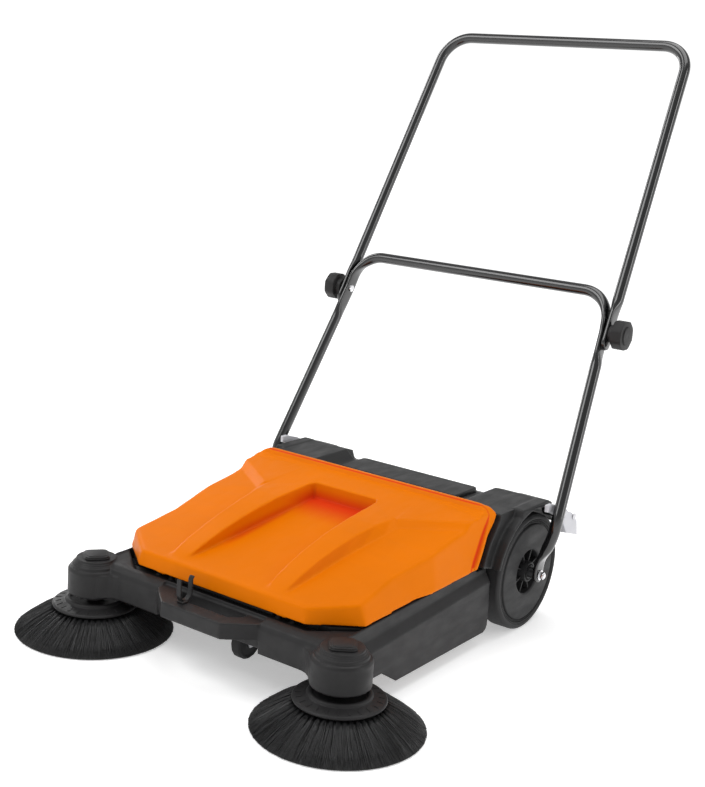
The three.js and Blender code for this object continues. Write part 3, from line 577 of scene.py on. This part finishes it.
def make_wheels():
    disc = [(12.4, 214), (17, 214), (33, 216), (36, 229), (74, 229), (75.5, 201), (80.2, 201),
            (80.2, 232.6), (78.8, 233.4), (77.6, 231.2), (76.4, 231.2), (75.4, 233.8), (74, 234.4),
            (37.4, 234.6), (34.8, 233), (33, 219.4), (17, 218.6), (15.8, 236.6), (12.4, 236.6)]
    tyre = [(80.8, 198.2), (88, 198.2), (92, 203), (92, 230), (91, 232.6), (87.6, 234.8), (84.4, 234.6),
            (83.6, 233.2), (82.8, 233.2), (82, 234.2), (80.8, 233.6)]
    for name, side in SIDES.items():
        body = lathe_geometry(filleted(on_side(disc, side), 0.8), (0, AXLE_Z), "X", 128)
        ribs = [rib_geometry(side, k) for k in range(HUB_RIBS)]
        plate = settle(tidy_normals(join_geometry(f"wheel_plate_{name}", [body, *ribs])), 40)
        finish_piece(plate, WHEEL_BLACK, f"wheel_{name}", [f"wheel_disc_{name}"])
        band = turned(f"tyre_band_{name}", on_side(tyre, side), (0, AXLE_Z), "X", 128, 1.6)
        finish_piece(band, TYRE, f"wheel_{name}", [f"tyre_{name}"])


def rib_geometry(side, index):
    """One radial rib in the hub's recess."""
    angle = 2 * math.pi * (index + 0.5) / HUB_RIBS
    radial = Vector((math.cos(angle), math.sin(angle)))
    across = Vector((-radial.y, radial.x))
    points = []
    for x in (218.5, 230):
        for r in (14.5, 34.5):
            for half in (-1.1, 1.1):
                p = radial * r + across * half
                points.append(at(side * x, p.x, AXLE_Z + p.y))
    return points, BOX_FACES


# ---- bristles -----------------------------------------------------------------------------------
PLATE_MARKS = 24


def filaments(name, roots, tips, bow, thickness, steps=4):
    """Three-sided tapered strands from roots to tips, bowed sideways by the bow vectors, in metres."""
    count = len(roots)
    t = np.linspace(0, 1, steps + 1)[None, :, None]
    path = roots[:, None] * (1 - t) + tips[:, None] * t + bow[:, None] * (t * (1 - t) * 4)
    along = tips - roots
    along /= np.linalg.norm(along, axis=1, keepdims=True)
    first = np.cross(along, np.array([0.3, 0.5, 0.81]))
    first /= np.linalg.norm(first, axis=1, keepdims=True)
    second = np.cross(along, first)
    rings = []
    width = (thickness / 2 * (1 - 0.35 * t))
    for k in range(3):
        angle = 2 * math.pi * k / 3
        direction = first * math.cos(angle) + second * math.sin(angle)
        rings.append(path + direction[:, None] * width)
    points = np.stack(rings, axis=2).reshape(-1, 3)
    faces = []
    per = (steps + 1) * 3
    for s in range(count):
        base = s * per
        for j in range(steps):
            for k in range(3):
                m = (k + 1) % 3
                a = base + j * 3
                faces.append((a + k, a + m, a + 3 + m, a + 3 + k))
        faces.append((base + per - 3, base + per - 2, base + per - 1))
        faces.append((base + 2, base + 1, base))
    piece = new_object(name, points, faces)
    piece.data.shade_smooth()
    return piece


def fan_strands(rng, tufts, strands, root_r, root_z, tip_r, tip_z, jitter):
    """Roots and tips of a conical ring of tufts about the Z axis at the origin, in millimetres."""
    tuft = np.repeat(np.arange(tufts), strands)
    centre = 2 * np.pi * tuft / tufts
    count = len(tuft)
    spread = rng.uniform(-0.5, 0.5, count) * 2 * np.pi / tufts
    root_angle = centre + spread * 0.42
    tip_angle = centre + spread * 1.12 + rng.normal(0, 0.008, count)
    root_radius = root_r + rng.uniform(-2, 2, count)
    tip_radius = tip_r + rng.uniform(-jitter, 0, count)
    height = tip_z + rng.uniform(0, 1.6, count)
    roots = np.stack([root_radius * np.cos(root_angle), root_radius * np.sin(root_angle),
                      root_z + rng.uniform(-0.6, 0.6, count)], 1)
    tips = np.stack([tip_radius * np.cos(tip_angle), tip_radius * np.sin(tip_angle), height], 1)
    return roots, tips


def make_side_bristles(name, side):
    """The fan of strands, and a dark cone inside it that stops light between them."""
    rng = np.random.default_rng(11 if side > 0 else 12)
    # Outer, middle and inner ring: tufts, strands, root radius and height, tip radius and height, jitter.
    rings = [(46, 34, 58, 38.2, 115.5, 1.5, 1.1), (46, 24, 54, 37.8, 113, 1.4, 3),
             (46, 14, 48, 37.4, 103, 1.2, 6)]
    roots, tips = map(np.concatenate, zip(*(fan_strands(rng, *ring) for ring in rings)))
    offset = np.array([side * BRUSH_X, BRUSH_Y, 0])
    shift = np.array([0, AXLE_Y, 0])
    bow = rng.normal(0, 0.5, roots.shape)
    bow[:, 2] += 2.2
    starts, ends = (roots + offset) / 1000 + shift, (tips + offset) / 1000 + shift
    fan = filaments(f"side_bristles_{name}", starts, ends, bow / 1000, 0.0011)
    finish_piece(fan, BRISTLE, f"brush_{name}", [f"brush_bristles_{name}"])
    pile = [(50, 36.6), (60, 34.6), (88, 18.4), (106, 6.6), (114.4, 1.2), (112, 0.7), (92, 7.6),
            (72, 19.5), (50, 31)]
    core = turned(f"side_pile_{name}", pile, (side * BRUSH_X, BRUSH_Y), "Z", 128, 0.5)
    finish_piece(core, BRISTLE, f"brush_{name}")


def make_brush_plate(name, side):
    plate = [(6.4, 39.2), (59, 39.2), (61.8, 40.2), (62.2, 42.4), (60.4, 44.2), (56, 45.2), (43.6, 47.4),
             (42.2, 50.4), (39.8, 51.6), (36.4, 51.4), (35, 48.4), (14, 47.8), (12.6, 56), (6.4, 56)]
    body = lathe_geometry(filleted(plate, 0.9), (side * BRUSH_X, BRUSH_Y), "Z", 96)
    marks = [tuft_mark(side, k) for k in range(PLATE_MARKS)]
    disc = settle(tidy_normals(join_geometry(f"brush_disc_{name}", [body, *marks])), 40)
    finish_piece(disc, BLACK, f"brush_{name}", [f"brush_plate_{name}"])


def tuft_mark(side, index):
    """One of the small raised ears around the brush plate."""
    angle = 2 * math.pi * (index + 0.3) / PLATE_MARKS
    radial = Vector((math.cos(angle), math.sin(angle)))
    across = Vector((-radial.y, radial.x))
    points = []
    for r, height in ((49.5, 46.2), (57.5, 44.9)):
        for half in (-0.9, 0.9):
            for z in (height - 1.2, height + 0.75):
                p = radial * r + across * half
                points.append(at(side * BRUSH_X + p.x, BRUSH_Y + p.y, z))
    return points, BOX_FACES


def make_roller_bristles():
    rng = np.random.default_rng(7)
    low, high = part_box("roller_bristles")
    centre = (low + high) / 2
    rows, tufts, strands = 8, 56, 5
    grid = np.meshgrid(range(rows), range(tufts), range(strands), indexing="ij")
    row, tuft, _ = (a.ravel() for a in grid)
    count = len(row)
    share = tuft / (tufts - 1)
    x = low.x + 0.004 + share * (high.x - low.x - 0.008) + rng.uniform(-0.0025, 0.0025, count)
    angle = 2 * np.pi * row / rows + 1.4 * np.abs(share - 0.5) + rng.uniform(-0.05, 0.05, count)
    outer = (high.z - low.z) / 2 - rng.uniform(0.0002, 0.003, count)
    spread = rng.uniform(-0.05, 0.05, count)
    roots = np.stack([x, centre.y + 0.021 * np.cos(angle), centre.z + 0.021 * np.sin(angle)], 1)
    tips = np.stack([x + rng.uniform(-0.003, 0.003, count), centre.y + outer * np.cos(angle + spread),
                     centre.z + outer * np.sin(angle + spread)], 1)
    tips[:, 0] = np.clip(tips[:, 0], low.x, high.x)
    brush = filaments("roller_tufts", roots, tips, rng.normal(0, 0.0006, roots.shape), 0.0016, 3)
    finish_piece(brush, BRISTLE, "roller", ["roller_bristles"])


# ---- handle tubes -------------------------------------------------------------------------------
# The lower tube's right leg, from the axle up to the elbow beside the fender, in millimetres.
LEG = [(251, 0, 80.5), (251, 0, 108), (258, 2, 128), (270.2, -2, 155), (274.6, -2, 180)]
LOWER_KNOB_X = 0.2482  # the two tubes' centre lines at the knobs, in metres
UPPER_KNOB_X = 0.2562


def arc_corner(before, corner, after, radius, steps=14):
    """Points of a circular bend of that radius between two straight runs."""
    u, v = (before - corner).normalized(), (after - corner).normalized()
    half = u.angle(v) / 2
    reach = radius / math.tan(half)
    start = corner + u * reach
    middle = corner + (u + v).normalized() * (radius / math.sin(half))
    axis = u.cross(v).normalized()
    sweep = math.pi - 2 * half
    arm = start - middle
    return [middle + Matrix.Rotation(-sweep * i / steps, 3, axis) @ arm for i in range(steps + 1)]


def sampled_path(corners, radius, spacing, sharp_turn=0.2):
    """A path through the corners, with arcs at sharp turns and evenly spaced points on straight runs."""
    path = [corners[0]]
    for before, corner, after in zip(corners, corners[1:], corners[2:]):
        sharp = (corner - before).angle(after - corner) > sharp_turn
        path += arc_corner(before, corner, after, radius) if sharp else [corner]
    path.append(corners[-1])
    result = [path[0]]
    for a, b in zip(path, path[1:]):
        count = max(1, int((b - a).length / spacing))
        result += [a.lerp(b, (k + 1) / count) for k in range(count)]
    return result


def pressed(point, spots):
    """How flat the tube is at a point: 0 round, 1 flat."""
    for spot, reach, fade in spots:
        away = math.hypot(point.y - spot.y, point.z - spot.z)
        share = max(0.0, min(1.0, (reach + fade - away) / fade))
        if share > 0:
            return share * share * (3 - 2 * share)
    return 0.0


def tube_piece(name, corners, spots, sides=32):
    """A tube through the corners, pressed flat around the spots: places, reaches and fades, in metres."""
    path = sampled_path(corners, TUBE_BEND, 0.004)
    points = []
    last = len(path) - 1
    across = (corners[1] - corners[0]).cross(Vector((1, 0, 0))).normalized()  # normal of the U's plane
    for i, point in enumerate(path):
        tangent = (path[min(i + 1, last)] - path[max(i - 1, 0)]).normalized()
        first = across.cross(tangent).normalized()
        second = tangent.cross(first).normalized()
        share = pressed(point, spots)
        from_end = min((point - path[0]).length, (point - path[-1]).length)
        round_end = 1.0
        if share > 0.9 and from_end < FLAT_WIDE:
            round_end = math.sqrt(max(0.02, 1 - (1 - from_end / FLAT_WIDE) ** 2))
        thick = TUBE_RADIUS + (FLAT_HALF - TUBE_RADIUS) * share
        wide = (TUBE_RADIUS + (FLAT_WIDE - TUBE_RADIUS) * share) * round_end
        for k in range(sides):
            angle = 2 * math.pi * k / sides
            c, s = math.cos(angle), math.sin(angle)
            power = 1 - 0.7 * share
            a = thick * math.copysign(abs(c) ** power, c)
            b = wide * math.copysign(abs(s) ** (1 - 0.35 * share), s)
            points.append(point + first * a + second * b)
    return settle(tidy_normals(new_object(name, points, rod_faces(last, sides))), 50)


def u_corners(half):
    """Both halves of a U-shaped tube's corners from its right half."""
    return half + [Vector((-p.x, p.y, p.z)) for p in reversed(half)]


def make_lower_tube():
    knob, axle = centre_of("knob_bolt_right"), centre_of("axle_bolt_right")
    joint = Vector((LOWER_KNOB_X, knob.y, knob.z))
    top = Vector((0.241, at(0, 171.8, 0).y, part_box("lower_frame")[1].z - TUBE_RADIUS))
    leg = [at(*p) for p in LEG]
    bend = cut_corners([*leg, leg[-1].lerp(joint, 0.09)], 3)
    spots = [(axle, 0.020, 0.030), (knob, 0.028, 0.030)]
    piece = tube_piece("lower_tube", u_corners([*bend, joint, top]), spots)
    finish_piece(piece, PAINT, "lower_frame", ["lower_frame"])


def make_upper_tube():
    knob = centre_of("knob_bolt_right")
    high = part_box("upper_handle")[1]
    crown = Vector((0.2344, high.y - TUBE_RADIUS, high.z - TUBE_RADIUS))
    start = Vector((UPPER_KNOB_X, knob.y, knob.z))
    foot = start - (crown - start).normalized() * 0.0285
    piece = tube_piece("upper_tube", u_corners([foot, start, crown]), [(knob, 0.030, 0.026)])
    finish_piece(piece, PAINT, "upper_handle", ["upper_handle"])


# ---- small hardware -----------------------------------------------------------------------------
def polygon(sides, radius, centre, turn=0.0):
    """The corners of a regular polygon."""
    angles = [2 * math.pi / sides * i + turn for i in range(sides)]
    return [(centre[0] + radius * math.cos(a), centre[1] + radius * math.sin(a)) for a in angles]


def make_knobs():
    knob = centre_of("knob_bolt_right")
    y, z = (knob.y - AXLE_Y) * 1000, knob.z * 1000
    for name, side in SIDES.items():
        outline = polygon(8, 24, (y, z), math.pi / 8)
        grip = prism_geometry(filleted(outline, 4.5, 5), *sorted((side * 269, side * 287)), axis="X")
        collar = [(4.4, 260.8), (14, 260.8), (15.5, 269.5), (4.4, 269.5)]
        collar = lathe_geometry(filleted(on_side(collar, side), 0.8), (y, z), "X", 48)
        cap = [(0.2, 286.5), (15, 286.5), (14.2, 289), (0.2, 289.4)]
        cap = lathe_geometry(filleted(on_side(cap, side), 0.8), (y, z), "X", 48)
        piece = bevelled(f"knob_grip_{name}", [grip, collar, cap], 1.6)
        finish_piece(piece, BLACK, f"knob_{name}", [f"clamp_knob_{name}"])
        head = [(0.2, 241.2), (4.6, 241.6), (6.4, 243), (6.4, 244), (0.2, 244)]
        head = lathe_geometry(filleted(on_side(head, side), 0.4), (y, z), "X", 40)
        shank = [(0.2, 243.5), (3.9, 243.5), (3.9, 286), (0.2, 286)]
        shank = lathe_geometry(on_side(shank, side), (y, z), "X", 32)
        piece = bevelled(f"knob_screw_{name}", [head, shank], 0.5)
        finish_piece(piece, CHROME, "lower_frame", [f"knob_bolt_{name}"])


def make_axle_bolts():
    for name, side in SIDES.items():
        washer = [(4.2, 255.2), (8, 255.2), (8, 256.6), (4.2, 256.6)]
        washer = lathe_geometry(filleted(on_side(washer, side), 0.4), (0, AXLE_Z), "X", 48)
        hexagon = polygon(6, 10.5 / 2 / math.cos(math.pi / 6), (0, AXLE_Z), 0.2)
        nut = prism_geometry(hexagon, *sorted((side * 256.5, side * 261.6)), axis="X")
        stud = [(0.2, 237), (3.9, 237), (3.9, 263.2), (0.2, 263.6)]
        stud = lathe_geometry(filleted(on_side(stud, side), 0.5), (0, AXLE_Z), "X", 32)
        piece = bevelled(f"axle_nut_{name}", [washer, nut, stud], 0.5)
        finish_piece(piece, CHROME, "chassis_body", [f"axle_bolt_{name}"])


def make_catches():
    for name in SIDES:
        piece = moulded(f"catch_{name}", [node_geometry(f"handle_catch_{name}")], 0.8, 5)
        finish_piece(piece, GREY, f"catch_{name}", [f"handle_catch_{name}"])


def cap_outline(side, half, radius):
    """A rounded square over a side brush, turned towards the machine's corner."""
    reach = half * math.sqrt(2)
    turns = [math.radians(side * 38 + 45 + 90 * k) for k in range(4)]
    corners = [(side * BRUSH_X + reach * math.cos(a), BRUSH_Y + reach * math.sin(a)) for a in turns]
    return filleted(corners, radius, 6)


def make_corner_caps():
    for name, side in SIDES.items():
        low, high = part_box(f"corner_cap_{name}")
        z0, z1 = low.z * 1000, high.z * 1000
        base = prism_geometry(cap_outline(side, 18.8, 10.6), z0, z1 - 3)
        rim = prism_geometry(cap_outline(side, 17.6, 10), z0 + 1, z1 - 0.8)
        crown = prism_geometry(cap_outline(side, 14.4, 8), z0 + 2, z1)
        piece = bevelled(f"cap_{name}", [base, rim, crown], 0.7)
        finish_piece(piece, BLACK, "chassis_body", [f"corner_cap_{name}"])


def make_clip():
    piece = moulded("tube_clip", [node_geometry("handle_clip")], 0.6, 4)
    finish_piece(piece, BLACK, "chassis_body", ["handle_clip"])


def make_hopper():
    piece = moulded("dirt_tub", [node_geometry("hopper")], 1.6, 4)
    finish_piece(piece, HOUSING, "chassis_body", ["hopper"])


def dress_inner_nodes():
    for name in SIDES:
        for stem in ("hood_hinge_pin", "brush_shaft", "catch_pin"):
            dress(f"{stem}_{name}", STEEL, 0.3)
        dress(f"stub_axle_{name}", DARK_STEEL, 0.3)
        for stem in ("roller_bearing", "brush_bearing", "brush_pulley"):
            dress(f"{stem}_{name}", IVORY, 0.3)
        dress(f"wheel_bush_{name}", WHEEL_BLACK, 0.3)
        dress(f"drive_belt_{name}", BELT)
    for node in ("roller_core", "caster_fork", "caster_nut", "caster_axle"):
        dress(node, STEEL, 0.4)
    for node in ("drive_gear_right", "drive_pulley_left", "roller_pinion"):
        dress(node, IVORY, 0.25)
    dress("caster_wheel", SOFT, 0.6)
    dress("sealing_lip", SOFT, 0.5)


# ---- stage --------------------------------------------------------------------------------------
CAMERA_PLACE = Vector((1.1278, -1.66895, 0.8012))
CAMERA_YAW = math.radians(35.344)
CAMERA_DOWN = math.radians(12.88)
CAMERA_ROLL = math.radians(3.975)
CAMERA_LENS = 61.0  # on a 36 mm long side


def make_camera():
    flat = math.cos(CAMERA_DOWN)
    look = Vector((-math.sin(CAMERA_YAW) * flat, math.cos(CAMERA_YAW) * flat, -math.sin(CAMERA_DOWN)))
    level = look.cross(Vector((0, 0, 1))).normalized()
    above = level.cross(look)
    c, s = math.cos(CAMERA_ROLL), math.sin(CAMERA_ROLL)
    right, up = level * c + above * s, above * c - level * s
    camera = bpy.data.objects.new("camera", bpy.data.cameras.new("camera"))
    bpy.context.scene.collection.objects.link(camera)
    matrix = Matrix((right, up, -look)).transposed().to_4x4()
    matrix.translation = CAMERA_PLACE
    camera.matrix_world = matrix
    camera.data.lens = CAMERA_LENS
    camera.data.sensor_width = 36
    camera.data.clip_end = 50
    bpy.context.scene.camera = camera


def make_light(name, place, target, size, power, size_y=None):
    data = bpy.data.lights.new(name, "AREA")
    data.shape = "RECTANGLE"
    data.size, data.size_y = size, size_y or size
    data.energy = power
    lamp = bpy.data.objects.new(name, data)
    bpy.context.scene.collection.objects.link(lamp)
    lamp.location = place
    lamp.rotation_euler = (Vector(target) - Vector(place)).to_track_quat("-Z", "Y").to_euler()


def make_floor():
    """Pale paper with a painted glow, its emission growing away from the machine, so that it meets the
    backdrop without a line.
    """
    size = 60
    floor = new_object("floor", [(-size, -size, 0), (size, -size, 0), (size, size, 0), (-size, size, 0)],
                       [(0, 1, 2, 3)])
    material, tree, shader, coordinates = new_material("floor_paper")
    base = add_mix(tree, add_noise(tree, coordinates, 3, 2), (0.9, 0.9, 0.9), (0.94, 0.94, 0.94))
    tree.links.new(base, shader.inputs["Base Color"])
    shader.inputs["Roughness"].default_value = 0.9
    shader.inputs["Emission Color"].default_value = (1, 1, 1, 1)
    distance = tree.nodes.new("ShaderNodeVectorMath")
    distance.operation = "LENGTH"
    tree.links.new(coordinates, distance.inputs[0])
    # Painted light: the floor's own emission, weaker near the machine and stronger far from it.
    glow = add_range(tree, distance.outputs["Value"], 0.40, 0.85, 1.5, 8.0)
    tree.links.new(glow, shader.inputs["Emission Strength"])
    floor.data.materials.append(material)


def make_backdrop():
    """A white world, brightest at the horizon."""
    world = bpy.data.worlds.new("world")
    world.use_nodes = True
    tree = world.node_tree
    background = tree.nodes["Background"]
    background.inputs[0].default_value = (1, 1, 1, 1)
    direction = tree.nodes.new("ShaderNodeTexCoord")
    split = tree.nodes.new("ShaderNodeSeparateXYZ")
    tree.links.new(direction.outputs["Generated"], split.inputs[0])
    tree.links.new(add_range(tree, split.outputs["Z"], 1.1, 0.42, 0.1, 0.45), background.inputs[1])
    bpy.context.scene.world = world
    bpy.context.scene.view_settings.view_transform = "Standard"


def make_lights():
    make_light("key", (-1.6, -2.2, 3.2), (0, 0, 0.1), 2.2, 62)
    make_light("top", (0.3, 0.5, 3.4), (0, 0, 0.2), 2.4, 48)
    make_light("side_strip", (2.8, 0.8, 1.4), (0, 0, 0.4), 0.5, 18, 2.4)
    make_light("left_strip", (-2.6, 0.9, 1.5), (0, 0.2, 0.5), 0.4, 18, 2.4)


make_camera()
make_floor()
make_backdrop()
make_lights()
make_hood()
make_chassis()
make_domes()
make_rear_housing()
make_wheels()
for brush_name, brush_side in SIDES.items():
    make_side_bristles(brush_name, brush_side)
    make_brush_plate(brush_name, brush_side)
make_roller_bristles()
make_lower_tube()
make_upper_tube()
make_knobs()
make_axle_bolts()
make_catches()
make_corner_caps()
make_clip()
make_hopper()
dress_inner_nodes()
